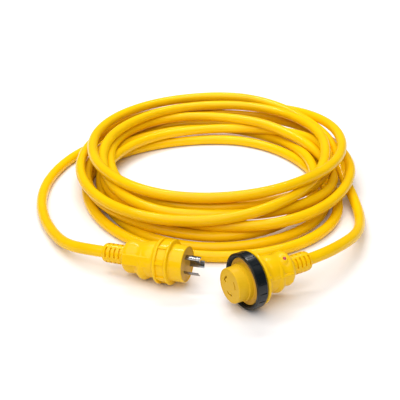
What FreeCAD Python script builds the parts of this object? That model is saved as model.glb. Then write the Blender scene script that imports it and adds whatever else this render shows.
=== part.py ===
"""Shore power cordset: a thick round cord in a loose coil, a locking plug and a female connector with its lock ring.

Millimetres, +Z up. The cordset lies on the floor, z = 0. The plug and the connector point forwards, towards -Y,
and the coil lies behind them. Each end fitting is built along its own axis, from the cord end (0) to its face.
"""
import FreeCAD, Part
import math
import os

V = FreeCAD.Vector

# --- cord ---
cord_diameter = 17.0
cord_grip_depth = 24.0          # how far the jacket runs into a strain relief
cord_straight_exit = 22.0       # how far it runs straight on from the strain relief
grip_clearance = 0.05
conductor_diameter = 4.6
conductor_spacing = 3.0         # conductor centres from the cord's axis

# --- strain reliefs ---
relief_radius = 14.3
relief_slot_width = 2.6
relief_slot_depth = 2.6
relief_slot_pitch = 7.0
relief_slot_margin = 6.8        # last slot to the body
relief_slot_count = 4
relief_slot_rows = 4
relief_slot_angle = 64.0

# --- raised side panels of both bodies ---
panel_radius = 25.4             # axis to the middle of the panel's face
panel_width = 16.0
panel_edge = 1.6
panel_angle = 18.0              # above the horizontal
connector_panel_angle = -4.0

# --- plug, along its axis ---
plug_relief_length = 35.0
plug_root_radius = 19.0         # of the body, where the strain relief meets it
plug_web_angle = 12.0           # first web between the relief slots
plug_body_length = 93.0
plug_grip_radius = 24.3
plug_waist_radius = 22.6
plug_finger_radius = 27.4       # finger ridge, about an axis lower than the body's
plug_finger_drop = 3.8
plug_flange_radius = 33.0
plug_front_flange_radius = 32.5
plug_band_radius = 29.4
plug_band_rib_count = 8
plug_nose_radius = 26.0
plug_nose_length = 19.5
plug_rim_wall = 1.6
plug_face_inset = 1.0
carrier_depth = 24.0
carrier_radius = 20.0
chamber_radius = 18.0
chamber_length = 62.0
blade_length = 21.5
blade_thickness = 1.6
blade_circle_radius = 13.2
blade_clearance = 0.05

# --- connector, along its axis ---
connector_relief_length = 33.0
connector_root_radius = 17.5
connector_web_angle = -10.0
connector_body_length = 58.0    # to the front of its flange
connector_grip_radius = 24.8
connector_waist_radius = 23.4
connector_finger_radius = 27.0
connector_finger_drop = 3.0
connector_flange_radius = 38.0
connector_flange_thickness = 5.0
boss_radius = 24.5
boss_length = 38.0
boss_collar_radius = 25.9
boss_collar_length = 7.0
boss_disc_radius = 33.0
boss_disc_thickness = 3.2
boss_disc_from_face = 22.5      # face of the boss to the front of its disc
boss_lip_overlap = 2.6          # how far the disc stands over the neck, to hold the ring
boss_spigot_radius = 21.0
boss_spigot_length = 12.0
boss_face_wall = 2.4
boss_face_inset = 0.3
boss_rim_wall = 1.7
slot_clearance = 0.4
contact_thickness = 0.8
contact_gap = 1.9
contact_length = 24.0
pocket_clearance = 0.15

# --- lock ring ---
ring_wall = 3.6
ring_bore_clearance = 3.2       # disc's edge to the ring's bore
ring_length = 15.8
ring_gap = 2.7                  # flange to the back of the ring, at rest
ring_lip_thickness = 3.0
ring_lip_clearance = 0.5
ring_notch_count = 18
ring_notch_width = 1.7
ring_notch_depth = 1.0
ring_thread_depth = 0.9
ring_thread_pitch = 3.0
ring_thread_turns = 3
seal_thickness = 1.5
seal_clearance = 0.3

boss_neck_radius = boss_disc_radius - boss_lip_overlap
ring_bore_radius = boss_disc_radius + ring_bore_clearance
ring_outer_radius = ring_bore_radius + ring_wall

# --- power light ---
led_radius = 2.6
led_seat_clearance = 0.05
led_station = 49.0
led_angle = 64.0                # above the horizontal, towards the front
led_dome_radius = 8.5
led_dome_rise = 2.4
led_pocket_radius = 5.0
led_foot_height = 1.2
led_board_thickness = 1.2
resistor_radius = 1.1
resistor_length = 5.4

# --- crimps ---
crimp_radius = 3.3
crimp_length = 13.0

# --- where the end fittings lie: cord end, heading on the floor, rise of the nose ---
plug_place = V(-144.1, 60.0, 27.8)
plug_heading = -21.0
plug_rise = 3.4
connector_place = V(142.2, 18.1, ring_outer_radius)
connector_heading = 211.0

# --- the coil: a lower and an upper tier, each between two ellipses (centre x, centre y, half width, half depth) ---
lower_outer = (15.0, 337.0, 236.0, 267.0)
lower_inner = (13.0, 327.0, 155.0, 146.0)
upper_outer = (23.0, 374.0, 224.0, 232.0)
upper_inner = (20.0, 356.0, 172.0, 178.0)
lower_height = 36.0
upper_height = 74.0
coil_edge_radius = 9.0

# --- the cord's free stretches, from each strain relief to the coil ---
cord_rest = cord_diameter / 2    # height of the cord's axis where it lies on the floor
plug_route = [
    (-206.0, 99.0, cord_rest + 8.5), (-233.0, 146.0, cord_rest + 1.5), (-256.0, 200.0, cord_rest),
    (-269.0, 259.0, cord_rest), (-270.0, 321.0, cord_rest), (-257.0, 383.0, cord_rest), (-232.0, 441.0, cord_rest),
    (-190.0, 494.0, cord_rest + 1.0), (-132.0, 523.0, cord_rest + 4.5),
]
connector_route = [
    (200.0, 68.0, 36.0), (228.0, 112.0, 31.0), (242.0, 164.0, 27.0), (242.0, 218.0, 24.0), (229.0, 270.0, 22.0),
]


def revolved(outline):
    """Solid of revolution about X of a closed outline in the XZ plane.

    The outline is a list of points (x, r) joined by straight lines; a list inside it is a smooth curve through its
    points, which starts at the point before it.
    """
    edges = []
    first = V(outline[0][0], 0, outline[0][1])
    here = first
    for item in outline[1:]:
        if isinstance(item, list):
            stations = [here] + [V(x, 0, r) for x, r in item]
            curve = Part.BSplineCurve()
            curve.interpolate(stations)
            edges.append(curve.toShape())
            here = stations[-1]
        else:
            there = V(item[0], 0, item[1])
            edges.append(Part.makeLine(here, there))
            here = there
    edges.append(Part.makeLine(here, first))
    face = Part.Face(Part.Wire(edges))
    return face.revolve(V(0, 0, 0), V(1, 0, 0), 360)


def rod(radius, start, end, at=(0, 0)):
    """Cylinder along X from start to end, its axis through (y, z)."""
    return Part.makeCylinder(radius, end - start, V(start, at[0], at[1]), V(1, 0, 0))


def tube_wall(outer, inner, start, end):
    """Ring along X between two radii."""
    return rod(outer, start, end).cut(rod(inner, start - 1, end + 1))


def turned(shape, angle):
    """Copy of a shape, turned about X."""
    copy = shape.copy()
    copy.rotate(V(0, 0, 0), V(1, 0, 0), angle)
    return copy


def curved_bar(radius, thickness, arc, start, end, at_angle):
    """Bar along X with a curved section: part of a ring, arc degrees wide, centred on at_angle."""
    inner = radius - thickness / 2
    outer = radius + thickness / 2
    half = math.radians(arc / 2)
    middle = math.radians(at_angle)

    def spot(r, turn):
        return V(start, r * math.cos(middle + turn), r * math.sin(middle + turn))

    edges = [
        Part.Arc(spot(outer, -half), spot(outer, 0), spot(outer, half)).toShape(),
        Part.makeLine(spot(outer, half), spot(inner, half)),
        Part.Arc(spot(inner, half), spot(inner, 0), spot(inner, -half)).toShape(),
        Part.makeLine(spot(inner, -half), spot(outer, -half)),
    ]
    return Part.Face(Part.Wire(edges)).extrude(V(end - start, 0, 0))


def fused(first, others):
    """One solid of several."""
    return first.fuse(others).removeSplitter() if others else first


def route_edges(points, radii_out=None):
    """Straight runs joined by tangent arcs; an arc's radius is 0.45 of its shorter run over tan(half the turn)."""
    edges = []
    here = points[0]
    for before, corner, after in zip(points, points[1:], points[2:]):
        back = (before - corner).normalize()
        on = (after - corner).normalize()
        turn = math.pi - back.getAngle(on)
        setback = 0.45 * min(corner.distanceToPoint(before), corner.distanceToPoint(after))
        radius = setback / math.tan(turn / 2)
        start = corner + back * setback
        end = corner + on * setback
        bisector = (back + on).normalize()
        centre = corner + bisector * (radius / math.cos(turn / 2))
        middle = centre - bisector * radius
        edges.append(Part.LineSegment(here, start).toShape())
        edges.append(Part.Arc(start, middle, end).toShape())
        here = end
        if radii_out is not None:
            radii_out.append(radius)
    edges.append(Part.LineSegment(here, points[-1]).toShape())
    return edges


def tube_along(points, diameter, name):
    """Round tube along a route; prints its bend radii and compares its volume with section times length."""
    radii = []
    path = Part.Wire(route_edges(points, radii))
    circle = Part.Circle(points[0], points[1] - points[0], diameter / 2).toShape()
    tube = path.makePipeShell([Part.Wire([circle])], True, True)
    expected = math.pi * diameter ** 2 / 4 * path.Length
    rounded = [round(radius) for radius in radii]
    print(name, "length %.1f radii %s volume/expected %.4f" % (path.Length, rounded, tube.Volume / expected))
    return tube


def placement(place, heading, rise):
    """Where an end fitting's own axes lie: X along its axis, turned by heading about Z and raised at the nose."""
    return FreeCAD.Placement(place, FreeCAD.Rotation(V(0, 0, 1), heading) * FreeCAD.Rotation(V(0, 1, 0), -rise))


plug_frame = placement(plug_place, plug_heading, plug_rise)
connector_frame = placement(connector_place, connector_heading, 0.0)


def relief_slots(length, web_angle):
    """Rows of short arc slots that let a strain relief bend; the webs between the rows start at web_angle."""
    slots = []
    reach = relief_radius + 4
    depth = relief_radius - relief_slot_depth
    first = length - relief_slot_margin - relief_slot_pitch * (relief_slot_count - 1)
    for row in range(relief_slot_rows):
        angle = web_angle + 360.0 / relief_slot_rows * (row + 0.5)
        for step in range(relief_slot_count):
            start = first + relief_slot_pitch * step
            middle = (reach + depth) / 2
            slots.append(curved_bar(middle, reach - depth, relief_slot_angle,
                                    start - relief_slot_width / 2, start + relief_slot_width / 2, angle))
    return slots


def strain_relief(length, web_angle):
    """Moulded sleeve round the cord with a rounded end, which holds the jacket and lets the conductors on."""
    core = conductor_spacing + conductor_diameter / 2 + 0.4
    grip = cord_diameter / 2 + grip_clearance
    sleeve = revolved([
        (0, grip), (0, grip + 1.6), [(0.8, relief_radius - 1.8), (3.2, relief_radius - 0.6), (6.5, relief_radius)],
        (length, relief_radius), (length, core), (cord_grip_depth + 0.2, core), (cord_grip_depth + 0.2, grip),
    ])
    return sleeve.cut(relief_slots(length, web_angle))


# --- plug ---
plug_face_station = plug_relief_length + plug_body_length
front_flange_back = plug_face_station - plug_nose_length - 5.0
rear_flange_back = front_flange_back - 17.0
carrier_back = plug_face_station - plug_face_inset - carrier_depth
chamber_back = carrier_back - chamber_length
bore_radius = conductor_spacing + conductor_diameter / 2 + 2.2


def plug_outline():
    """Grip with its waist, the two flanges with the band between them, and the nose; inside, chamber and bore."""
    grip = plug_relief_length + 9.5
    waist = plug_relief_length + 20.0
    shoulder = plug_relief_length + 34.0
    nose = plug_nose_radius
    face = plug_face_station
    carrier_bore = carrier_radius + grip_clearance
    return [
        (plug_relief_length, bore_radius), (plug_relief_length, plug_root_radius),
        [(plug_relief_length + 2.6, plug_grip_radius - 1.9), (grip, plug_grip_radius), (waist, plug_waist_radius),
         (shoulder, plug_grip_radius + 0.7), (rear_flange_back - 6, plug_grip_radius + 1.2)],
        [(rear_flange_back - 1.6, plug_grip_radius + 3.8), (rear_flange_back + 0.4, plug_flange_radius - 1.2),
         (rear_flange_back + 2.6, plug_flange_radius), (rear_flange_back + 4.8, plug_flange_radius - 0.8)],
        (rear_flange_back + 5.2, plug_band_radius), (front_flange_back, plug_band_radius),
        [(front_flange_back + 0.6, plug_front_flange_radius - 1.0), (front_flange_back + 2.4, plug_front_flange_radius),
         (front_flange_back + 4.4, plug_front_flange_radius - 1.0)],
        (front_flange_back + 5, nose + 0.8), (front_flange_back + 6.4, nose),
        (face - 1.4, nose), [(face - 0.4, nose - 0.4), (face, nose - 1.3)],
        (face, nose - plug_rim_wall), (face - plug_face_inset - 2.0, nose - plug_rim_wall),
        (face - plug_face_inset - 2.0, carrier_bore), (carrier_back, carrier_bore),
        (carrier_back, chamber_radius), (chamber_back, chamber_radius), (chamber_back, bore_radius),
    ]


def side_panel(start, length):
    """Raised panel along the side of a body, with rounded edges."""
    base = 18.6
    panel = Part.makeBox(length, panel_radius - base, panel_width, V(start, base, -panel_width / 2))
    return panel.makeFillet(panel_edge, [edge for edge in panel.Edges if abs(edge.tangentAt(0).y) < 0.1])


def plug_body():
    """Moulded plug body with its finger ridge, side panels and the ribs that bridge the band."""
    body = revolved(plug_outline())
    crest = plug_relief_length + 30.0
    ridge = revolved([
        (crest - 12, 12), (crest - 12, plug_finger_radius - 6.5),
        [(crest - 5.5, plug_finger_radius - 2.6), (crest, plug_finger_radius), (crest + 4.5, plug_finger_radius - 1.6),
         (crest + 9.5, plug_finger_radius - 5.6)],
        (crest + 9.5, 12),
    ])
    ridge.translate(V(0, 0, -plug_finger_drop))
    ridge = ridge.cut(rod(chamber_radius + 1.5, crest - 30, crest + 30))
    extras = [ridge]
    rib = Part.makeBox(front_flange_back - rear_flange_back - 3, 4.2, 3.4,
                       V(rear_flange_back + 3, -2.1, plug_band_radius - 1.6))
    for step in range(plug_band_rib_count):
        extras.append(turned(rib, 360.0 / plug_band_rib_count * step + 22.5))
    for side in (panel_angle, 180 - panel_angle):
        extras.append(turned(side_panel(plug_relief_length + 3, 39.0), side))
    return fused(body, extras)


def blade(arc, angle, hooked):
    """Curved locking blade from its crimp to its tip; the ground blade has a lug that points inwards."""
    start = carrier_back + 3.0
    tip = plug_face_station - plug_face_inset + blade_length
    bar = curved_bar(blade_circle_radius, blade_thickness, arc, start, tip, angle)
    if hooked:
        lug = Part.makeBox(6.0, 3.4, blade_thickness, V(tip - 6.0, blade_circle_radius - 3.8, 0))
        lug.rotate(V(0, 0, 0), V(1, 0, 0), angle + arc / 2 - math.degrees(blade_thickness / blade_circle_radius))
        return fused(bar, [lug])
    notch = curved_bar(blade_circle_radius, 5, arc * 0.34, tip - 11.0, tip - 6.0, angle + arc * 0.45)
    return bar.cut(notch)


pole_names = ("hot", "neutral", "ground")
blade_arcs = {"hot": 40.0, "neutral": 46.0, "ground": 38.0}
plug_angles = {"hot": 221.0, "neutral": -19.0, "ground": 101.0}
connector_angles = {"hot": 30.0, "neutral": 270.0, "ground": 150.0}


def blade_carrier():
    """Moulded face disc with the block behind it that holds the blades."""
    back_of_disc = plug_face_station - plug_face_inset - 2.0
    front = plug_face_station - plug_face_inset
    disc = rod(plug_nose_radius - plug_rim_wall - grip_clearance, back_of_disc, front)
    block = fused(rod(carrier_radius, carrier_back, back_of_disc), [disc])
    for name in pole_names:
        arc = blade_arcs[name] + 0.8
        cut = curved_bar(blade_circle_radius, blade_thickness + 2 * blade_clearance, arc,
                         carrier_back + 3.0, front + 1, plug_angles[name])
        block = block.cut(cut)
        centre = pole_centre(plug_angles[name])
        block = block.cut(rod(crimp_radius + 0.2, carrier_back - 1, carrier_back + 3.0, centre))
    return block


def pole_centre(angle):
    """Centre (y, z) of a pole's crimp."""
    turn = math.radians(angle)
    return (blade_circle_radius * math.cos(turn), blade_circle_radius * math.sin(turn))


def pole_crimp(start, angle):
    """Crimp barrel with the waist that the tool leaves; it holds the bare end of a conductor."""
    barrel = revolved([
        (start, 0), (start, crimp_radius), (start + 3.5, crimp_radius),
        [(start + 6.5, crimp_radius - 0.8), (start + 9.5, crimp_radius)],
        (start + crimp_length, crimp_radius), (start + crimp_length, 0),
    ])
    centre = pole_centre(angle)
    barrel.translate(V(0, centre[0], centre[1]))
    return barrel


def conductor(start, end, angle, label):
    """Insulated conductor from the cut jacket out to its crimp."""
    turn = math.radians(angle)
    inner = V(0, conductor_spacing * math.cos(turn), conductor_spacing * math.sin(turn))
    centre = pole_centre(angle)
    outer = V(0, centre[0], centre[1])
    span = end - start
    route = [V(start, 0, 0) + inner, V(start + span * 0.36, 0, 0) + inner,
             V(start + span * 0.70, 0, 0) + outer, V(end, 0, 0) + outer]
    return tube_along(route, conductor_diameter, label)


# --- connector ---
flange_front = connector_relief_length + connector_body_length
connector_face = flange_front + boss_length
disc_front = connector_face - boss_disc_from_face
disc_back = disc_front - boss_disc_thickness
spigot_back = flange_front - boss_spigot_length
contact_back = connector_face - boss_face_wall - contact_length
connector_bore_end = connector_relief_length + 10.0


def connector_outline():
    """Grip with its waist and the mounting flange; inside, the bore, the chamber and the boss's seat."""
    start = connector_relief_length
    seat = boss_spigot_radius + grip_clearance
    edge = connector_flange_radius
    back = flange_front - connector_flange_thickness
    return [
        (start, bore_radius), (start, connector_root_radius),
        [(start + 3.4, 21.6), (start + 8.5, connector_grip_radius), (start + 17, connector_waist_radius),
         (start + 29, connector_waist_radius + 1.6), (start + 40, connector_waist_radius + 2.4)],
        [(back - 6, 27.0), (back - 1.4, 31.5), (back, edge - 2.2)],
        [(back + 0.5, edge - 0.7), (back + 1.6, edge)],
        (flange_front - 1.0, edge), (flange_front, edge - 1.0),
        (flange_front, seat), (spigot_back, seat), (spigot_back, chamber_radius),
        (connector_bore_end + 14, chamber_radius), (connector_bore_end, bore_radius),
    ]


def led_spot(height):
    """A point on the light's own axis, height above the connector's axis."""
    turn = math.radians(led_angle)
    return V(led_station, height * math.cos(turn), height * math.sin(turn))


led_axis = V(0, math.cos(math.radians(led_angle)), math.sin(math.radians(led_angle)))
led_tip = connector_grip_radius + led_dome_rise
led_pocket_floor = 15.5
led_ledge = led_tip - 4.0


def connector_body():
    """Moulded connector body with its finger ridge, panel ribs, alignment key and the dome for the power light."""
    body = revolved(connector_outline())
    crest = connector_relief_length + 27.0
    ridge = revolved([
        (crest - 13, 12), (crest - 13, connector_finger_radius - 6.5),
        [(crest - 6, connector_finger_radius - 2.4), (crest, connector_finger_radius),
         (crest + 5, connector_finger_radius - 1.5), (crest + 11, connector_finger_radius - 5.5)],
        (crest + 11, 12),
    ])
    ridge.translate(V(0, 0, -connector_finger_drop))
    ridge = ridge.cut(rod(chamber_radius + 1.5, crest - 40, crest + 40))
    extras = [ridge]
    dome = Part.makeSphere(led_dome_radius, led_spot(led_tip - led_dome_radius))
    cone = Part.makeCone(led_dome_radius + 2.0, led_dome_radius - 1.6, 9.0,
                         led_spot(led_tip - led_dome_radius - 5.0), led_axis)
    extras += [dome, cone]
    for side in (connector_panel_angle, 180 - connector_panel_angle):
        extras.append(turned(side_panel(connector_relief_length + 8, 38.0), side))
    key = Part.makeBox(4.5, 4.0, 1.6, V(flange_front - connector_flange_thickness - 0.5, -2.0,
                                        connector_flange_radius - 0.8))
    extras.append(turned(key, -62))
    whole = fused(body, extras)
    seat = Part.makeCylinder(led_radius + led_seat_clearance, 12, led_spot(led_ledge), led_axis)
    pocket = Part.makeCylinder(led_pocket_radius, led_ledge - led_pocket_floor, led_spot(led_pocket_floor), led_axis)
    return whole.cut([seat, pocket])


def power_light():
    """Lens, board and resistor of the power light."""
    lens = Part.makeCylinder(led_radius, led_tip - 0.8 - led_ledge, led_spot(led_ledge), led_axis)
    cap = Part.makeSphere(led_radius, led_spot(led_tip - 0.8))
    board_top = led_ledge - led_foot_height
    board_back = board_top - led_board_thickness
    foot = Part.makeCylinder(led_radius + 0.9, led_foot_height, led_spot(board_top), led_axis)
    board = Part.makeCylinder(led_pocket_radius - led_seat_clearance, led_board_thickness,
                              led_spot(board_back), led_axis)
    resistor = Part.makeCylinder(resistor_radius, resistor_length,
                                 led_spot(board_back - resistor_radius) - V(resistor_length / 2, 0, 0), V(1, 0, 0))
    return fused(lens, [cap, foot]), board, resistor


def cut_for_contacts(solid):
    """The three contact pockets and the crimp bores behind them, cut from a piece of the boss."""
    for name in pole_names:
        angle = connector_angles[name]
        room = contact_gap + 2 * contact_thickness + 2 * pocket_clearance
        pocket = curved_bar(blade_circle_radius, room, blade_arcs[name] + 9.5, contact_back,
                            connector_face - boss_face_wall, angle)
        bore = rod(crimp_radius + 0.2, spigot_back - 1, contact_back + 0.5, pole_centre(angle))
        solid = solid.cut([pocket, bore])
    return solid


def mount_disc():
    """Neck that the lock ring turns on, with its spigot in the body and the disc that holds the ring."""
    edge = boss_disc_radius
    return cut_for_contacts(revolved([
        (spigot_back, 0), (spigot_back, boss_spigot_radius), (flange_front, boss_spigot_radius),
        (flange_front, boss_neck_radius), (disc_back, boss_neck_radius), (disc_back, edge - 0.5),
        (disc_back + 0.5, edge), (disc_front - 0.8, edge), (disc_front, edge - 0.8), (disc_front, 0),
    ]))


def boss():
    """Barrel of the boss, with a collar at its foot and a seat for the face in its front."""
    face = connector_face
    seat = boss_radius - boss_rim_wall + grip_clearance
    floor = face - boss_face_wall
    collar_front = disc_front + boss_collar_length
    return cut_for_contacts(revolved([
        (disc_front, 0), (disc_front, boss_collar_radius + 0.8), (disc_front + 0.8, boss_collar_radius),
        (collar_front - 0.6, boss_collar_radius), (collar_front, boss_radius), (face - 1.4, boss_radius),
        [(face - 0.4, boss_radius - 0.35), (face, boss_radius - 1.1)], (face, seat), (floor, seat), (floor, 0),
    ]))


def boss_face():
    """Disc in the front of the boss, with the three curved slots for the blades."""
    start = connector_face - boss_face_wall
    front = connector_face - boss_face_inset
    disc = rod(boss_radius - boss_rim_wall, start, front)
    width = blade_thickness + 2 * slot_clearance
    for name in pole_names:
        arc = blade_arcs[name] + 7.0
        disc = disc.cut(curved_bar(blade_circle_radius, width, arc, start - 1, front + 1, connector_angles[name]))
    foot = Part.makeBox(boss_face_wall + 2, 3.6, width, V(start - 1, blade_circle_radius - 4.4, 0))
    ground = connector_angles["ground"] + blade_arcs["ground"] / 2 + 1.0
    return disc.cut(turned(foot, ground - math.degrees(blade_thickness / blade_circle_radius)))


def contact(name):
    """Spring contact: two curved leaves that grip a blade, joined by a web at the back."""
    angle = connector_angles[name]
    arc = blade_arcs[name] + 6.0
    reach = (contact_gap + contact_thickness) / 2
    front = connector_face - boss_face_wall - 0.6
    start = contact_back + 0.5
    leaves = [curved_bar(blade_circle_radius + side * reach, contact_thickness, arc, start, front, angle)
              for side in (-1, 1)]
    web = curved_bar(blade_circle_radius, contact_gap + 2 * contact_thickness, arc, start, start + 1.2, angle)
    return fused(web, leaves)


# --- lock ring ---
ring_back = flange_front + ring_gap
ring_front = ring_back + ring_length
lip_front = ring_back + ring_lip_thickness


def lock_ring():
    """Lock ring: a lip behind the boss's disc keeps it on; thread grooves inside, grip notches outside."""
    lip = boss_neck_radius + ring_lip_clearance
    outer = ring_outer_radius
    outline = [
        (ring_back, lip), (ring_back, outer - 1.6), [(ring_back + 0.5, outer - 0.5), (ring_back + 1.6, outer - 0.1)],
        (ring_front - 3.2, outer - 0.3), (ring_front - 2.8, outer), (ring_front - 0.7, outer),
        (ring_front, outer - 0.7), (ring_front, ring_bore_radius + 0.8), (ring_front - 0.8, ring_bore_radius),
    ]
    for turn in range(ring_thread_turns):
        groove = ring_front - 2.2 - ring_thread_pitch * turn
        outline += [(groove, ring_bore_radius), (groove - 0.7, ring_bore_radius + ring_thread_depth),
                    (groove - 1.1, ring_bore_radius + ring_thread_depth), (groove - 1.8, ring_bore_radius)]
    outline += [(lip_front, ring_bore_radius), (lip_front, lip)]
    ring = revolved(outline)
    notch = Part.makeBox(ring_length - 5.2, ring_notch_width, 4,
                         V(ring_back + 1.8, -ring_notch_width / 2, outer - ring_notch_depth))
    notches = [turned(notch, 360.0 / ring_notch_count * (step + 0.5)) for step in range(ring_notch_count)]
    return ring.cut(notches)


def ring_seal():
    """Flat rubber washer that lies on the lip inside the lock ring."""
    start = lip_front + seal_clearance
    return tube_wall(ring_bore_radius - 0.5, boss_neck_radius + ring_lip_clearance, start, start + seal_thickness)


# --- coil ---
def ellipse_face(shape, height):
    """Elliptical face at a height; a shape is (centre x, centre y, half width, half depth)."""
    centre_x, centre_y, half_width, half_depth = shape
    centre = V(centre_x, centre_y, height)
    if half_depth > half_width:
        ellipse = Part.Ellipse(centre + V(0, half_depth, 0), centre + V(half_width, 0, 0), centre)
    else:
        ellipse = Part.Ellipse(centre + V(half_width, 0, 0), centre + V(0, half_depth, 0), centre)
    return Part.Face(Part.Wire([ellipse.toShape()]))


def tier(outer, inner, bottom, top):
    """One tier of the coil: the space between two ellipses."""
    rise = V(0, 0, top - bottom)
    return ellipse_face(outer, bottom).extrude(rise).cut(ellipse_face(inner, bottom).extrude(rise))


def coil():
    """Closed solid of the coil's outer shape."""
    lower = tier(lower_outer, lower_inner, 0, lower_height)
    upper = tier(upper_outer, upper_inner, lower_height, upper_height)
    rims = [edge for edge in upper.Edges if min(v.Z for v in edge.Vertexes) > upper_height - 0.01]
    upper = upper.makeFillet(coil_edge_radius, rims)
    return lower.fuse(upper)


def along(frame, station):
    """A point on a fitting's axis, in the cordset's frame."""
    return frame.multVec(V(station, 0, 0))


def free_cord(frame, route, name, hank):
    """The cord from inside a strain relief to the coil, where it stops at the coil's surface."""
    points = [along(frame, cord_grip_depth), along(frame, -cord_straight_exit)] + [V(*point) for point in route]
    tube = tube_along(points, cord_diameter, name)
    return tube.cut(hank)


def plug_pieces():
    """The plug's solids, in its own axes."""
    pieces = {
        "plug_body": plug_body(),
        "plug_strain_relief": strain_relief(plug_relief_length, plug_web_angle),
        "plug_face": blade_carrier(),
    }
    colours = {"hot": "black", "neutral": "white", "ground": "green"}
    crimp_start = carrier_back + 3.0 - crimp_length
    crimps = []
    for name in pole_names:
        angle = plug_angles[name]
        pieces["plug_blade_" + name] = blade(blade_arcs[name], angle, name == "ground")
        wire = "plug_conductor_" + colours[name]
        pieces[wire] = conductor(cord_grip_depth + 0.3, crimp_start, angle, wire)
        crimps.append(pole_crimp(crimp_start, angle))
    pieces["plug_crimps"] = Part.makeCompound(crimps)
    return pieces


def connector_pieces():
    """The connector's solids, in its own axes."""
    lens, board, resistor = power_light()
    pieces = {
        "connector_body": connector_body(),
        "connector_strain_relief": strain_relief(connector_relief_length, connector_web_angle),
        "connector_boss": boss(),
        "connector_face": boss_face(),
        "connector_mount_disc": mount_disc(),
        "led_lens": lens,
        "led_board": board,
        "led_resistor": resistor,
        "lock_ring": lock_ring(),
        "ring_seal": ring_seal(),
    }
    colours = {"hot": "black", "neutral": "white", "ground": "green"}
    crimp_start = contact_back + 0.5 - crimp_length
    crimps = []
    for name in pole_names:
        angle = connector_angles[name]
        pieces["connector_contact_" + name] = contact(name)
        wire = "connector_conductor_" + colours[name]
        pieces[wire] = conductor(cord_grip_depth + 0.3, crimp_start, angle, wire)
        crimps.append(pole_crimp(crimp_start, angle))
    pieces["connector_crimps"] = Part.makeCompound(crimps)
    return pieces


def main():
    """Build every piece, put it where it lies and write its STEP file."""
    os.makedirs("parts", exist_ok=True)
    hank = coil()
    nodes = {
        "cord_coil": hank,
        "plug_tail": free_cord(plug_frame, plug_route, "plug_tail", hank),
        "connector_tail": free_cord(connector_frame, connector_route, "connector_tail", hank),
    }
    for frame, pieces in ((plug_frame, plug_pieces()), (connector_frame, connector_pieces())):
        for name, shape in pieces.items():
            shape.Placement = frame
            nodes[name] = shape
    for name, shape in nodes.items():
        shape.exportStep("parts/" + name + ".step")


main()
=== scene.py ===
"""Shore power cordset: the cord in its loose coil, the finishes of the plug, the connector and the
lock ring, and the studio. Laid out as a Blender add-on and run as a script."""
import math

import bpy
import numpy as np
from bpy.props import FloatProperty, FloatVectorProperty, IntProperty, PointerProperty
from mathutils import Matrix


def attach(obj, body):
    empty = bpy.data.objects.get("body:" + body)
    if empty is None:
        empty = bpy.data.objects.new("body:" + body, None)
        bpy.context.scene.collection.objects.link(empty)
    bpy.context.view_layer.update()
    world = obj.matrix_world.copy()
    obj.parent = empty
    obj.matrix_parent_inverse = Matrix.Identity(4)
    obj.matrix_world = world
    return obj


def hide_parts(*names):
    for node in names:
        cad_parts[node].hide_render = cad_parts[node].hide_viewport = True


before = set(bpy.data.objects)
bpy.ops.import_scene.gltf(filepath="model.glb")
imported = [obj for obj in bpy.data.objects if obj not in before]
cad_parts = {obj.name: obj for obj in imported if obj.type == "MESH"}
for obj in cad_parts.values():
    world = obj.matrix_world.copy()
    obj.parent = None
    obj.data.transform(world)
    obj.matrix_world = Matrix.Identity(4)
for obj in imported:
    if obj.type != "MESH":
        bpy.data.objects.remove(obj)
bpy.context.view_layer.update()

bl_info = {
    "name": "Shore power cordset",
    "version": (1, 0, 0),
    "blender": (4, 5, 0),
    "location": "View3D > Sidebar > Cordset",
    "description": "Builds the coiled cord, its fittings' finishes and the studio",
    "category": "Object",
}

MM = 0.001

# ---------------------------------------------------------------- the cord's line

# Control points of the free stretches, in millimetres: from inside the plug's strain relief to the
# coil, and from the coil to inside the connector's.
PLUG_ROUTE = [
    (-121.7, 51.4, 29.2), (-164.6, 67.9, 26.5), (-206.0, 99.0, 17.0), (-233.0, 146.0, 10.0),
    (-256.0, 200.0, 8.5), (-269.0, 259.0, 8.5), (-270.0, 321.0, 8.5), (-257.0, 383.0, 8.5),
    (-232.0, 441.0, 8.5), (-190.0, 494.0, 9.0),
]
CONNECTOR_ROUTE = [
    (240.0, 282.0, 20.0), (246.0, 240.0, 11.0), (245.0, 186.0, 13.0), (231.0, 124.0, 23.0),
    (201.0, 73.0, 34.0), (161.1, 29.4, 39.8), (121.6, 5.7, 39.8),
]
LEAD_IN = [(-132.0, 535.0, 9.0), (-60.0, 573.0, 9.0)]

# Where each loose turn passes the sides of the coil: x, y, z in millimetres. The cord lies the way
# the clock goes, from the plug's end at the bottom to the connector's end at the top, and its last
# turn leaves the coil after the right side.
SIDES = ("back", "right", "front", "left")
TURNS = [
    ((40, 584, 9), (216, 255, 8.5), (22, 78, 8.5), (-197, 322, 8.5)),
    ((32, 507, 9), (205, 285, 12), (12, 99, 15), (-176, 350, 9)),
    ((35, 540, 17), (190, 330, 14), (14, 120, 24), (-201, 338, 24)),
    ((30, 598, 26), (244, 352, 36), (52, 123, 38), (-178, 345, 32)),
    ((38, 520, 30), (214, 362, 47), (0, 153, 55), (-165, 385, 36)),
    ((-16, 544, 42), (220, 318, 42), (-14, 132, 51), (-173, 350, 52)),
    ((42, 568, 54), (210, 385, 54), (-10, 115, 46), (-212, 352, 42)),
    ((45, 600, 44), (237, 382, 66), (2, 151, 68), (-193, 374, 66)),
    ((38, 598, 64), (231, 356, 48)),
]

QUARTER_STEPS = 12  # points drawn in each quarter of a turn
LINE_RESOLUTION = 8  # points read from the spline for each control point
JACKET_RESOLUTION = 4  # rings of the finished jacket for each control point

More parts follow.
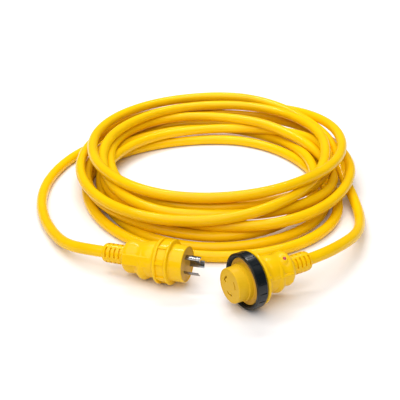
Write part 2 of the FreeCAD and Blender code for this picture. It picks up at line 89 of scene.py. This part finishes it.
# How the loose turns settle on each other. Distances are in cord diameters.
SAME_STRAND = 3  # points nearer than this along the cord don't push each other
REACH = 1.9  # pairs within this distance are watched
RECOUNT = 8  # rounds between two searches for pairs
PUSH_SHARE = 0.35  # share of an overlap that each round takes away
HOLD_AXES = (1.0, 1.0, 0.5)  # how firmly the drawn place holds a point along x, y and z
SMOOTH_PASSES = 3  # times that the drift is averaged in each round
SETTLE_PAST = 5  # points past the coil's end where the settling lets go
STRIDE = 3  # every third settled point becomes a control point

# ---------------------------------------------------------------- the connector's small detail

# All in millimetres, in the connector's own axes: X along its axis, Z up.
CONNECTOR_PLACE, CONNECTOR_HEADING = (142.2, 18.1, 39.8), 211.0
LIGHT_STATION, LIGHT_HEIGHT, LIGHT_ANGLE = 49.0, 26.9, 64.0
RIM_OFFSET, RIM_RADIUS, RIM_SIZE = -0.35, 3.25, 0.55
THREAD_TURNS, THREAD_PITCH, THREAD_START, THREAD_RADIUS, THREAD_SIZE = 3.0, 3.0, 103.2, 36.25, 0.5

# ---------------------------------------------------------------- surfaces and lights

SHADE_WARMTH = 0.95  # how much more the green and blue of a darker shade go down
DRIFT_SCALE, GRAIN_SCALE, SPECK_SCALE, RUB_SCALE = 18.0, 900.0, 2600.0, 75.0
LINE_STRETCH, PATCH_SCALE = (60.0, 900.0, 900.0), 140.0
PAPER_WHITE = (0.92, 0.92, 0.92, 1)

SOFTBOX = {"place": (-0.10, 1.05, 1.35), "aim": (0.0, 0.25, 0.0), "size": (1.3, 0.16)}
FRONT_LIGHT = {"place": (0.1, -1.7, 0.7), "aim": (0.0, 0.2, 0.03), "size": (1.2, 0.5)}
SENSOR_WIDTH = 36.0  # millimetres


# ---------------------------------------------------------------- settings

class CordSettings(bpy.types.PropertyGroup):
    """Sizes of the cord and how its coil settles."""
    diameter: FloatProperty(
        name="Diameter", description="Outside diameter of the jacket",
        default=0.017, min=0.001, unit="LENGTH")
    step: FloatProperty(
        name="Settling step", description="Spacing of the points that settle against each other",
        default=0.010, unit="LENGTH")
    rounds: IntProperty(
        name="Settling rounds", description="How often the turns are pushed apart", default=400)
    fall: FloatProperty(
        name="Fall", description="How far a free point sinks in the first round",
        default=0.00003, precision=6, unit="LENGTH")
    hold: FloatProperty(
        name="Hold", description="Share of its drift that a point gives back each round",
        default=0.004)
    blend: FloatProperty(
        name="Blend", description="Length over which the settling sets in at the coil's ends",
        default=0.10, unit="LENGTH")
    resolution: IntProperty(name="Round", description="Bevel resolution of the jacket", default=7)


class FinishSettings(bpy.types.PropertyGroup):
    """Colours of the materials."""
    jacket: FloatVectorProperty(
        name="Jacket", description="Colour of the cord's jacket",
        subtype="COLOR", size=4, default=(0.97, 0.595, 0.002, 1.0), min=0, max=1)
    vinyl: FloatVectorProperty(
        name="Moulded vinyl", description="Colour of the plug and connector bodies",
        subtype="COLOR", size=4, default=(0.96, 0.585, 0.002, 1.0), min=0, max=1)
    boss: FloatVectorProperty(
        name="Boss", description="Colour of the connector's boss",
        subtype="COLOR", size=4, default=(0.84, 0.51, 0.012, 1.0), min=0, max=1)
    face: FloatVectorProperty(
        name="Faces", description="Colour of the plug's face and the mounting disc",
        subtype="COLOR", size=4, default=(0.72, 0.41, 0.035, 1.0), min=0, max=1)
    ring: FloatVectorProperty(
        name="Lock ring", description="Colour of the lock ring",
        subtype="COLOR", size=4, default=(0.003, 0.007, 0.009, 1.0), min=0, max=1)


class StageSettings(bpy.types.PropertyGroup):
    """Camera, floor and lights."""
    distance: FloatProperty(
        name="Camera distance", description="From the camera to the point it looks at",
        default=1.5, unit="LENGTH")
    elevation: FloatProperty(
        name="Camera elevation", description="Angle above the floor",
        default=math.radians(27.5), subtype="ANGLE")
    lens: FloatProperty(name="Lens", description="Focal length in millimetres", default=81.0)
    aim: FloatVectorProperty(
        name="Aim", description="Point that the camera looks at",
        subtype="TRANSLATION", size=3, default=(-0.0075, 0.2757, 0.0))
    floor_half: FloatProperty(
        name="Floor", description="Half the floor's side", default=40.0, unit="LENGTH")
    sun_direction: FloatVectorProperty(
        name="Overhead direction", description="Way that the even light shines",
        size=3, default=(0.15, 0.35, -1.0), subtype="DIRECTION")
    sun_angle: FloatProperty(
        name="Overhead width", description="Apparent width of the even light",
        default=math.radians(80.0), subtype="ANGLE")
    sun_power: FloatProperty(
        name="Overhead", description="Strength of the even light", default=2.95)
    key_power: FloatProperty(
        name="Softbox", description="Power of the softbox above and behind",
        default=11.0, unit="POWER")
    fill_power: FloatProperty(
        name="Front light", description="Power of the light in front", default=2.0, unit="POWER")
    sky: FloatProperty(
        name="Surroundings", description="Brightness of the white surroundings", default=0.12)


# ---------------------------------------------------------------- meshes

def mesh_object(name, points, faces):
    """Mesh object in the scene from whole arrays: points (n, 3) in metres and quads (m, 4)."""
    mesh = bpy.data.meshes.new(name)
    mesh.from_pydata(points.tolist(), [], faces.tolist())
    mesh.polygons.foreach_set("use_smooth", np.ones(len(faces), dtype=bool))
    mesh.update()
    obj = bpy.data.objects.new(name, mesh)
    bpy.context.scene.collection.objects.link(obj)
    return obj


def grid_faces(rows, columns, wrap_rows=False):
    """Quads of a grid of points numbered row by row. Each row closes on itself, and wrapped rows
    join the last row to the first."""
    row = np.arange(rows if wrap_rows else rows - 1)
    r, c = np.meshgrid(row, np.arange(columns), indexing="ij")
    r_next, c_next = (r + 1) % rows, (c + 1) % columns
    corners = (r * columns + c, r * columns + c_next,
               r_next * columns + c_next, r_next * columns + c)
    return np.stack(corners, axis=-1).reshape(-1, 4)


# ---------------------------------------------------------------- cord

def nurbs_curve(name, points, resolution):
    """Curve of one open NURBS spline of order 3 that starts and ends at its outermost points."""
    curve = bpy.data.curves.new(name, "CURVE")
    curve.dimensions = "3D"
    spline = curve.splines.new("NURBS")
    spline.points.add(len(points) - 1)
    spline.points.foreach_set("co", np.hstack([points, np.ones((len(points), 1))]).ravel())
    spline.order_u = 3
    spline.use_endpoint_u = True
    spline.resolution_u = resolution
    return curve


def centreline(points):
    """Points that a NURBS spline passes through, read from a curve with no bevel."""
    curve = nurbs_curve("centreline", points, LINE_RESOLUTION)
    obj = bpy.data.objects.new("centreline", curve)
    mesh = bpy.data.meshes.new_from_object(obj)
    line = np.empty(len(mesh.vertices) * 3)
    mesh.vertices.foreach_get("co", line)
    bpy.data.meshes.remove(mesh)
    bpy.data.objects.remove(obj)
    bpy.data.curves.remove(curve)
    return line.reshape(-1, 3)


def quarter_turn(start, side, end):
    """Quarter of an ellipse between two places of a turn: one coordinate follows the cosine and
    the other the sine, so that the cord passes each place along the coil's rim; the height goes
    over in an S-shaped blend."""
    start, end = np.array(start, float), np.array(end, float)
    angle = np.linspace(0, math.pi / 2, QUARTER_STEPS, endpoint=False)
    cosine, sine = np.cos(angle), np.sin(angle)
    if side in ("left", "right"):
        x = end[0] + (start[0] - end[0]) * cosine
        y = start[1] + (end[1] - start[1]) * sine
    else:
        x = start[0] + (end[0] - start[0]) * sine
        y = end[1] + (start[1] - end[1]) * cosine
    share = angle / (math.pi / 2)
    blend = share * share * (3 - 2 * share)
    return np.stack([x, y, start[2] + (end[2] - start[2]) * blend], axis=-1)


def coil_path():
    """The coil's drawn line: quarter turns from place to place, in the order the cord lies."""
    places = [(side, place) for turn in TURNS for side, place in zip(SIDES, turn)]
    quarters = [quarter_turn(here, side, there)
                for (side, here), (_, there) in zip(places, places[1:])]
    return np.vstack(quarters + [np.array([places[-1][1]], float)])


def evenly_spaced(path, step):
    """The same path with points a step apart, read off by its running length."""
    lengths = np.linalg.norm(np.diff(path, axis=0), axis=1)
    run = np.concatenate([[0.0], np.cumsum(lengths)])
    places = np.linspace(0.0, run[-1], int(round(run[-1] / step)) + 1)
    return np.stack([np.interp(places, run, path[:, axis]) for axis in range(3)], axis=-1)


def pairs_within(path, distance, skip):
    """Numbers of all pairs of points nearer than a distance and at least skip points apart."""
    square = ((path[:, None, :] - path[None, :, :]) ** 2).sum(axis=-1)
    return np.nonzero(np.triu(square < distance ** 2, skip))


def settle(path, free, cord):
    """Loose turns come to rest on each other. In each round every pair of points nearer than a
    diameter moves apart along the line between them, free points sink a little, each point's drift
    from its drawn place is averaged with its neighbours' and partly given back, and nothing goes
    below the floor."""
    diameter = cord.diameter
    drawn = path.copy()
    skip = int(math.ceil(SAME_STRAND * diameter / cord.step))
    for turn in range(cord.rounds):
        if turn % RECOUNT == 0:
            first, second = pairs_within(path, REACH * diameter, skip)
        gap = path[second] - path[first]
        distance = np.linalg.norm(gap, axis=1) + 1e-12
        close = distance < diameter
        overlap = PUSH_SHARE * (diameter - distance[close])
        push = gap[close] / distance[close][:, None] * overlap[:, None]
        move, hits = np.zeros_like(path), np.zeros(len(path))
        np.add.at(move, first[close], -push)
        np.add.at(move, second[close], push)
        np.add.at(hits, first[close], 1)
        np.add.at(hits, second[close], 1)
        path = path + move / np.sqrt(np.maximum(hits, 1))[:, None] * free[:, None]
        path[:, 2] -= cord.fall * (1 - turn / cord.rounds) * free
        drift = path - drawn
        drift *= (1 - cord.hold) ** np.array(HOLD_AXES)
        for _ in range(SMOOTH_PASSES):
            drift[1:-1] = 0.5 * drift[1:-1] + 0.25 * (drift[:-2] + drift[2:])
        path = drawn + drift
        path[:, 2] = np.maximum(path[:, 2], diameter / 2)
    return path


def nearest(path, place):
    """Number of the path's point nearest to a place given in millimetres."""
    return int(np.argmin(np.linalg.norm(path - np.array(place) * MM, axis=1)))


def cord_points(cord):
    """Control points of the whole cord in metres: the plug's stretch, the settled coil, the
    connector's stretch."""
    plug_route, connector_route = np.array(PLUG_ROUTE) * MM, np.array(CONNECTOR_ROUTE) * MM
    drawn = np.vstack([np.array(LEAD_IN), coil_path()]) * MM
    line = centreline(np.vstack([plug_route, drawn, connector_route]))
    whole = evenly_spaced(line, cord.step)
    number = np.arange(len(whole))
    first, last = nearest(whole, PLUG_ROUTE[-1]), nearest(whole, CONNECTOR_ROUTE[0])
    lead = cord.blend / cord.step
    sets_in = np.clip((number - first) / lead, 0, 1)
    lets_go = np.clip((last + SETTLE_PAST - number) / lead, 0, 1)
    rest = settle(whole, sets_in * lets_go, cord)
    return np.vstack([plug_route, rest[first + STRIDE:last - 1:STRIDE], connector_route])


class CORDSET_OT_cord(bpy.types.Operator):
    """Lays the cord: one smooth line from the plug round the coil to the connector."""
    bl_idname = "cordset.cord"
    bl_label = "Cord"

    def execute(self, context):
        cord = context.scene.cordset_cord
        curve = nurbs_curve("shore_cord", cord_points(cord), JACKET_RESOLUTION)
        curve.bevel_depth = cord.diameter / 2
        curve.bevel_resolution = cord.resolution
        curve.use_fill_caps = True
        obj = bpy.data.objects.new("shore_cord", curve)
        context.scene.collection.objects.link(obj)
        curve.materials.append(jacket_material(context.scene.cordset_finish))
        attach(obj, "cordset")
        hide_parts("cord_coil", "plug_tail", "connector_tail")
        return {"FINISHED"}


# ---------------------------------------------------------------- shader groups

def new_group(name, inputs, outputs):
    """Empty shader group with the named inputs (name, kind, default) and outputs (name, kind)."""
    group = bpy.data.node_groups.new(name, "ShaderNodeTree")
    for label, kind, default in inputs:
        socket = group.interface.new_socket(name=label, in_out="INPUT", socket_type=kind)
        socket.default_value = default
    for label, kind in outputs:
        group.interface.new_socket(name=label, in_out="OUTPUT", socket_type=kind)
    entry = group.nodes.new("NodeGroupInput")
    leave = group.nodes.new("NodeGroupOutput")
    return group, entry, leave


def add_math(group, operation, first, second, third=None):
    """Math node on two or three sockets or numbers; gives its output socket."""
    node = group.nodes.new("ShaderNodeMath")
    node.operation = operation
    for place, value in enumerate((first, second, third)):
        if value is None:
            continue
        if isinstance(value, (int, float)):
            node.inputs[place].default_value = value
        else:
            group.links.new(value, node.inputs[place])
    return node.outputs[0]


def add_noise(group, vector, scale, detail, roughness=0.5):
    """Noise texture; its scale may be a socket or a number."""
    node = group.nodes.new("ShaderNodeTexNoise")
    node.inputs["Detail"].default_value = detail
    node.inputs["Roughness"].default_value = roughness
    if isinstance(scale, (int, float)):
        node.inputs["Scale"].default_value = scale
    else:
        group.links.new(scale, node.inputs["Scale"])
    group.links.new(vector, node.inputs["Vector"])
    return node.outputs["Fac"]


def add_mix(group, factor, first, second):
    """Mix of two colour sockets; gives its output socket."""
    node = group.nodes.new("ShaderNodeMix")
    node.data_type = "RGBA"
    node.clamp_factor = True
    group.links.new(factor, node.inputs["Factor"])
    group.links.new(first, node.inputs["A"])
    group.links.new(second, node.inputs["B"])
    return node.outputs["Result"]


def moulded_group():
    """Moulded plastic: slow colour drift between two shades, fine grain, rubbed patches and dust
    specks."""
    if "moulded_surface" in bpy.data.node_groups:
        return bpy.data.node_groups["moulded_surface"]
    group, entry, leave = new_group("moulded_surface", [
        ("Vector", "NodeSocketVector", (0.0, 0.0, 0.0)),
        ("Colour", "NodeSocketColor", (1, 1, 1, 1)),
        ("Shade", "NodeSocketColor", (0.8, 0.8, 0.8, 1)),
        ("Drift Scale", "NodeSocketFloat", DRIFT_SCALE),
        ("Grain Scale", "NodeSocketFloat", GRAIN_SCALE),
        ("Gloss", "NodeSocketFloat", 0.3),
        ("Gloss Range", "NodeSocketFloat", 0.12)],
        [("Color", "NodeSocketColor"), ("Roughness", "NodeSocketFloat"),
         ("Height", "NodeSocketFloat")])
    given, link = entry.outputs, group.links.new
    vector = given["Vector"]
    drift = add_noise(group, vector, given["Drift Scale"], 4)
    grain = add_noise(group, vector, given["Grain Scale"], 3)
    specks = add_noise(group, vector, SPECK_SCALE, 2)
    rub = add_noise(group, vector, RUB_SCALE, 6, 0.65)
    blend = add_math(group, "MULTIPLY_ADD", drift, 1.5, -0.25)
    dust = add_math(group, "MULTIPLY", add_math(group, "GREATER_THAN", specks, 0.73), 0.35)
    factor = add_math(group, "ADD", blend, dust)
    link(add_mix(group, factor, given["Colour"], given["Shade"]), leave.inputs["Color"])
    off_centre = add_math(group, "SUBTRACT", rub, 0.5)
    uneven = add_math(group, "MULTIPLY", off_centre, given["Gloss Range"])
    rough = add_math(group, "ADD", given["Gloss"], uneven)
    dull_dust = add_math(group, "MULTIPLY", dust, 0.3)
    link(add_math(group, "ADD", rough, dull_dust), leave.inputs["Roughness"])
    fine = add_math(group, "MULTIPLY", grain, 0.4)
    link(add_math(group, "MULTIPLY_ADD", rub, 0.6, fine), leave.inputs["Height"])
    return group


def brushed_group():
    """Formed metal: fine lines drawn along one direction, with tarnish in slow patches."""
    if "formed_metal" in bpy.data.node_groups:
        return bpy.data.node_groups["formed_metal"]
    group, entry, leave = new_group("formed_metal", [
        ("Vector", "NodeSocketVector", (0.0, 0.0, 0.0)),
        ("Colour", "NodeSocketColor", (0.8, 0.8, 0.8, 1)),
        ("Tarnish", "NodeSocketColor", (0.5, 0.4, 0.3, 1)),
        ("Gloss", "NodeSocketFloat", 0.2)],
        [("Color", "NodeSocketColor"), ("Roughness", "NodeSocketFloat"),
         ("Height", "NodeSocketFloat")])
    given, link = entry.outputs, group.links.new
    stretch = group.nodes.new("ShaderNodeVectorMath")
    stretch.operation = "MULTIPLY"
    stretch.inputs[1].default_value = LINE_STRETCH
    link(given["Vector"], stretch.inputs[0])
    lines = add_noise(group, stretch.outputs[0], 1.0, 3)
    patches = add_noise(group, given["Vector"], PATCH_SCALE, 5, 0.6)
    factor = add_math(group, "MULTIPLY_ADD", patches, 1.6, -0.55)
    link(add_mix(group, factor, given["Colour"], given["Tarnish"]), leave.inputs["Color"])
    rough = add_math(group, "MULTIPLY_ADD", patches, 0.22, given["Gloss"])
    link(rough, leave.inputs["Roughness"])
    link(lines, leave.inputs["Height"])
    return group


def group_material(name, group, values, bump, settings):
    """Principled material fed by a shader group: colour, roughness and a bump (strength, distance)
    from its height."""
    material = bpy.data.materials.new(name)
    material.use_nodes = True
    tree = material.node_tree
    shader = tree.nodes["Principled BSDF"]
    coordinates = tree.nodes.new("ShaderNodeTexCoord")
    effect = tree.nodes.new("ShaderNodeGroup")
    effect.node_tree = group
    for label, value in values.items():
        effect.inputs[label].default_value = value
    tree.links.new(coordinates.outputs["Object"], effect.inputs["Vector"])
    tree.links.new(effect.outputs["Color"], shader.inputs["Base Color"])
    tree.links.new(effect.outputs["Roughness"], shader.inputs["Roughness"])
    relief = tree.nodes.new("ShaderNodeBump")
    relief.inputs["Strength"].default_value, relief.inputs["Distance"].default_value = bump
    tree.links.new(effect.outputs["Height"], relief.inputs["Height"])
    tree.links.new(relief.outputs["Normal"], shader.inputs["Normal"])
    for label, value in settings.items():
        shader.inputs[label].default_value = value
    return material


def shaded(colour, factor):
    """A darker shade of a colour, with its green and blue lowered a little more."""
    red, green, blue, alpha = colour
    return (red * factor, green * factor * SHADE_WARMTH, blue * factor * SHADE_WARMTH, alpha)


def plastic(name, colour, shade, gloss, grain=GRAIN_SCALE, bump=(0.12, 0.00025), spread=0.14,
            **settings):
    """Moulded plastic or rubber of one colour."""
    values = {"Colour": colour, "Shade": shaded(colour, shade), "Grain Scale": grain,
              "Gloss": gloss, "Gloss Range": spread}
    return group_material(name, moulded_group(), values, bump, settings)


def metal(name, colour, tarnish, gloss, bump):
    """Formed metal of one colour with its tarnish."""
    values = {"Colour": colour, "Tarnish": tarnish, "Gloss": gloss}
    return group_material(name, brushed_group(), values, bump, {"Metallic": 1.0})


def jacket_material(finish):
    """Smooth extruded vinyl jacket."""
    coat = {"Specular IOR Level": 0.08, "Coat Weight": 0.18, "Coat Roughness": 0.06}
    return plastic("cord_jacket", tuple(finish.jacket), shade=0.86, gloss=0.22, grain=1400.0,
                   bump=(0.10, 0.0002), spread=0.12, **coat)


# ---------------------------------------------------------------- finishes of the CAD nodes

def give(material, *nodes):
    """Put a material on every slot of the named CAD nodes."""
    for name in nodes:
        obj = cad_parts[name]
        if not obj.material_slots:
            obj.data.materials.append(material)
        for slot in obj.material_slots:
            slot.material = material


class CORDSET_OT_moulded_bodies(bpy.types.Operator):
    """Gives the plug's and the connector's bodies, strain reliefs, faces and boss their moulded
    finishes."""
    bl_idname = "cordset.moulded_bodies"
    bl_label = "Moulded bodies"

    def execute(self, context):
        finish = context.scene.cordset_finish
        coat = {"Specular IOR Level": 0.08, "Coat Weight": 0.25, "Coat Roughness": 0.06}
        dull = {"Specular IOR Level": 0.15}
        vinyl = plastic("yellow_vinyl", tuple(finish.vinyl), shade=0.86, gloss=0.30, grain=1100.0,
                        bump=(0.18, 0.0003), **coat)
        boss = plastic("boss_yellow", tuple(finish.boss), shade=0.86, gloss=0.36, grain=1100.0,
                       bump=(0.15, 0.0003), **dull)
        face = plastic("face_tan", tuple(finish.face), shade=0.80, gloss=0.42, grain=1300.0,
                       bump=(0.20, 0.0003), **dull)
        give(vinyl, "plug_body", "plug_strain_relief", "connector_body", "connector_strain_relief")
        give(boss, "connector_boss", "connector_face")
        give(face, "plug_face", "connector_mount_disc")
        return {"FINISHED"}


class CORDSET_OT_metal_parts(bpy.types.Operator):
    """Gives the blades, contacts and crimps their metal finishes."""
    bl_idname = "cordset.metal_parts"
    bl_label = "Metal parts"

    def execute(self, context):
        plate = metal("plated_blade", (0.27, 0.28, 0.30, 1), (0.24, 0.18, 0.11, 1), gloss=0.12,
                      bump=(0.08, 0.0001))
        brass = metal("brass", (0.80, 0.58, 0.24, 1), (0.50, 0.32, 0.13, 1), gloss=0.22,
                      bump=(0.15, 0.0001))
        give(plate, "plug_blade_hot", "plug_blade_neutral", "plug_blade_ground")
        give(brass, "plug_crimps", "connector_crimps", "connector_contact_hot",
             "connector_contact_neutral", "connector_contact_ground")
        return {"FINISHED"}


class CORDSET_OT_conductors(bpy.types.Operator):
    """Gives the conductors inside both fittings their insulation colours."""
    bl_idname = "cordset.conductors"
    bl_label = "Conductors"

    def execute(self, context):
        colours = {"black": (0.010, 0.010, 0.011, 1), "white": (0.78, 0.77, 0.73, 1),
                   "green": (0.010, 0.16, 0.035, 1)}
        for name, colour in colours.items():
            skin = plastic(name + "_insulation", colour, shade=0.8, gloss=0.35)
            give(skin, "plug_conductor_" + name, "connector_conductor_" + name)
        return {"FINISHED"}


class CORDSET_OT_power_light(bpy.types.Operator):
    """Gives the power light's lens, board and resistor their finishes, and the lens a faint
    painted glow.
    """
    bl_idname = "cordset.power_light"
    bl_label = "Power light"

    def execute(self, context):
        # painted glow: the unplugged lens gets a faint red emission that stands in for light it
        # doesn't give
        painted_glow = {"Coat Weight": 1.0, "Coat Roughness": 0.03,
                "Emission Color": (0.6, 0.0, 0.03, 1), "Emission Strength": 0.15}
        lens = plastic("red_lens", (0.50, 0.010, 0.035, 1), shade=0.6, gloss=0.08, grain=1500.0,
                       bump=(0.05, 0.0001), spread=0.05, **painted_glow)
        give(lens, "led_lens")
        give(plastic("board", (0.010, 0.11, 0.035, 1), shade=0.7, gloss=0.35), "led_board")
        give(plastic("resistor", (0.55, 0.43, 0.22, 1), shade=0.75, gloss=0.3), "led_resistor")
        return {"FINISHED"}


class CORDSET_OT_lock_ring(bpy.types.Operator):
    """Gives the lock ring and its washer their black finishes."""
    bl_idname = "cordset.lock_ring"
    bl_label = "Lock ring"

    def execute(self, context):
        sheen = {"Specular IOR Level": 0.42}
        colour = tuple(context.scene.cordset_finish.ring)
        give(plastic("ring_black", colour, shade=0.6, gloss=0.24, grain=1200.0,
                     bump=(0.15, 0.0003), spread=0.16, **sheen), "lock_ring")
        give(plastic("seal_rubber", (0.014, 0.014, 0.014, 1), shade=0.7, gloss=0.62), "ring_seal")
        return {"FINISHED"}


# ---------------------------------------------------------------- small detail

def connector_points(points):
    """Points in the connector's own axes, in millimetres, put where it lies, in metres."""
    turn = math.radians(CONNECTOR_HEADING)
    x = np.array([math.cos(turn), math.sin(turn), 0.0])
    y = np.array([-math.sin(turn), math.cos(turn), 0.0])
    return np.array(CONNECTOR_PLACE) * MM + (points * MM) @ np.stack([x, y, np.cross(x, y)])


def turned_profile(profile, centre, axis, steps):
    """Surface of revolution of a closed profile (along, radius) about a line through the centre:
    the point at angle a is centre + along * axis + radius * (cos a * u + sin a * v), with u and v
    square to the axis."""
    axis = np.array(axis, float) / np.linalg.norm(axis)
    u = np.cross(axis, (0.0, 1.0, 0.0) if abs(axis[1]) < 0.9 else (1.0, 0.0, 0.0))
    u /= np.linalg.norm(u)
    v = np.cross(axis, u)
    angle = np.linspace(0, 2 * math.pi, steps, endpoint=False)[:, None, None]
    along, radius = profile[None, :, :1], profile[None, :, 1:]
    outward = np.cos(angle) * u + np.sin(angle) * v
    points = np.array(centre, float) + along * axis + radius * outward
    return connector_points(points.reshape(-1, 3)), grid_faces(steps, len(profile), True)


def round_bead(along, radius, size, steps=10):
    """Round section (along, radius) of a bead of the given radius."""
    angle = np.linspace(0, 2 * math.pi, steps, endpoint=False)
    return np.stack([along + size * np.cos(angle), radius + size * np.sin(angle)], axis=-1)


def bead_along(path, normal, size, steps):
    """Thin round bead carried along a path, its ends drawn to a point: at each point of the path
    the section is size * (cos a * n + sin a * b), with n the surface's normal and b square to it
    and to the path."""
    tangent = np.gradient(path, axis=0)
    tangent /= np.linalg.norm(tangent, axis=1)[:, None]
    across = np.cross(tangent, normal)
    share = np.linspace(0, 1, len(path))
    width = size * np.clip(np.minimum(share, 1 - share) * 12, 0.02, 1)[:, None, None]
    angle = np.linspace(0, 2 * math.pi, steps, endpoint=False)[None, :, None]
    section = np.cos(angle) * normal[:, None] + np.sin(angle) * across[:, None]
    points = path[:, None] + width * section
    return connector_points(points.reshape(-1, 3)), grid_faces(len(path), steps)


def detail(name, surface, slot_name, body):
    """A finished detail piece on a body, in the material that its slot is named after."""
    obj = mesh_object(name, *surface)
    obj.data.materials.append(bpy.data.materials[slot_name])
    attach(obj, body)


class CORDSET_OT_light_bezel(bpy.types.Operator):
    """Adds the thin moulded rim round the power light."""
    bl_idname = "cordset.light_bezel"
    bl_label = "Light bezel"

    def execute(self, context):
        turn = math.radians(LIGHT_ANGLE)
        axis = (0.0, math.cos(turn), math.sin(turn))
        centre = (LIGHT_STATION, LIGHT_HEIGHT * axis[1], LIGHT_HEIGHT * axis[2])
        rim = round_bead(RIM_OFFSET, RIM_RADIUS, RIM_SIZE)
        detail("light_bezel", turned_profile(rim, centre, axis, 48), "yellow_vinyl", "cordset")
        return {"FINISHED"}


class CORDSET_OT_thread(bpy.types.Operator):
    """Adds the crest of the lock ring's thread: a low ridge on a helix inside the bore."""
    bl_idname = "cordset.ring_thread"
    bl_label = "Ring thread"

    def execute(self, context):
        angle = np.linspace(0, 2 * math.pi * THREAD_TURNS, int(72 * THREAD_TURNS) + 1)
        x = THREAD_START + THREAD_PITCH * angle / (2 * math.pi)
        flat = np.zeros_like(x)
        outward = np.stack([flat, np.cos(angle), np.sin(angle)], axis=-1)
        path = np.stack([x, flat, flat], axis=-1) + THREAD_RADIUS * outward
        detail("ring_thread", bead_along(path, outward, THREAD_SIZE, 8), "ring_black", "ring")
        return {"FINISHED"}


# ---------------------------------------------------------------- stage

def look_angles(direction):
    """Euler angles that turn an object's -Z axis along a direction, with its X axis level."""
    x, y, z = direction / np.linalg.norm(direction)
    return (math.acos(-z), 0.0, math.atan2(-x, y))


def light_object(name, light, direction):
    """Puts a light in the scene, shining along a direction."""
    obj = bpy.data.objects.new(name, light)
    bpy.context.scene.collection.objects.link(obj)
    obj.rotation_euler = look_angles(direction)
    return obj


def area_light(name, place, aim, size, power):
    """Soft light of a given size (width, height) at a place, turned towards a point."""
    light = bpy.data.lights.new(name, "AREA")
    light.shape = "RECTANGLE"
    light.size, light.size_y = size
    light.energy = power
    direction = np.array(aim, float) - np.array(place, float)
    light_object(name, light, direction).location = place


def sun_light(name, direction, angle, strength):
    """Even light over the whole floor that shines along a direction; angle is its apparent
    width."""
    light = bpy.data.lights.new(name, "SUN")
    light.angle = angle
    light.energy = strength
    light_object(name, light, np.array(direction, float))


class CORDSET_OT_stage(bpy.types.Operator):
    """Sets up the camera, the pale floor, the soft lights and the white surroundings."""
    bl_idname = "cordset.stage"
    bl_label = "Stage"

    def execute(self, context):
        stage = context.scene.cordset_stage
        scene = context.scene
        camera = bpy.data.cameras.new("camera")
        camera.lens = stage.lens
        camera.sensor_width = SENSOR_WIDTH
        camera_object = bpy.data.objects.new("camera", camera)
        scene.collection.objects.link(camera_object)
        back = np.array([0.0, -math.cos(stage.elevation), math.sin(stage.elevation)])
        camera_object.location = np.array(stage.aim) + back * stage.distance
        camera_object.rotation_euler = (math.pi / 2 - stage.elevation, 0.0, 0.0)
        scene.camera = camera_object

        half = stage.floor_half
        corners = [[-half, -half, 0.0], [half, -half, 0.0], [half, half, 0.0], [-half, half, 0.0]]
        floor = mesh_object("floor", np.array(corners), np.array([[0, 1, 2, 3]]))
        floor.data.materials.append(plastic("floor_paper", PAPER_WHITE, shade=0.985, gloss=0.75,
                                            grain=300.0, bump=(0.02, 0.0002)))

        sun_light("overhead", stage.sun_direction, stage.sun_angle, stage.sun_power)
        area_light("softbox", power=stage.key_power, **SOFTBOX)
        area_light("front", power=stage.fill_power, **FRONT_LIGHT)
        world = bpy.data.worlds.new("surroundings")
        world.use_nodes = True
        background = world.node_tree.nodes["Background"]
        background.inputs["Color"].default_value = (1.0, 1.0, 1.0, 1.0)
        background.inputs["Strength"].default_value = stage.sky
        scene.world = world
        scene.view_settings.view_transform = "Standard"
        return {"FINISHED"}


# ---------------------------------------------------------------- panel and registration

class CORDSET_PT_panel(bpy.types.Panel):
    """Lists the settings and the operators."""
    bl_idname = "CORDSET_PT_panel"
    bl_label = "Shore power cordset"
    bl_space_type = "VIEW_3D"
    bl_region_type = "UI"
    bl_category = "Cordset"

    def draw(self, context):
        for attribute in SETTINGS:
            settings = getattr(context.scene, attribute)
            box = self.layout.box()
            for name in settings.__annotations__:
                box.prop(settings, name)
        for operator in OPERATORS:
            self.layout.operator(operator.bl_idname)


SETTINGS = {"cordset_cord": CordSettings, "cordset_finish": FinishSettings,
            "cordset_stage": StageSettings}
OPERATORS = (CORDSET_OT_cord, CORDSET_OT_moulded_bodies, CORDSET_OT_metal_parts,
             CORDSET_OT_conductors, CORDSET_OT_power_light, CORDSET_OT_lock_ring,
             CORDSET_OT_light_bezel, CORDSET_OT_thread, CORDSET_OT_stage)
CLASSES = tuple(SETTINGS.values()) + OPERATORS + (CORDSET_PT_panel,)


def register():
    """Adds the classes and the scene's settings."""
    for cls in CLASSES:
        bpy.utils.register_class(cls)
    for name, cls in SETTINGS.items():
        setattr(bpy.types.Scene, name, PointerProperty(type=cls))


def unregister():
    """Removes them again."""
    for name in SETTINGS:
        delattr(bpy.types.Scene, name)
    for cls in reversed(CLASSES):
        bpy.utils.unregister_class(cls)


def main():
    register()
    bpy.ops.cordset.cord()
    bpy.ops.cordset.moulded_bodies()
    bpy.ops.cordset.metal_parts()
    bpy.ops.cordset.conductors()
    bpy.ops.cordset.power_light()
    bpy.ops.cordset.lock_ring()
    bpy.ops.cordset.light_bezel()
    bpy.ops.cordset.ring_thread()
    bpy.ops.cordset.stage()


if __name__ == "__main__":
    main()
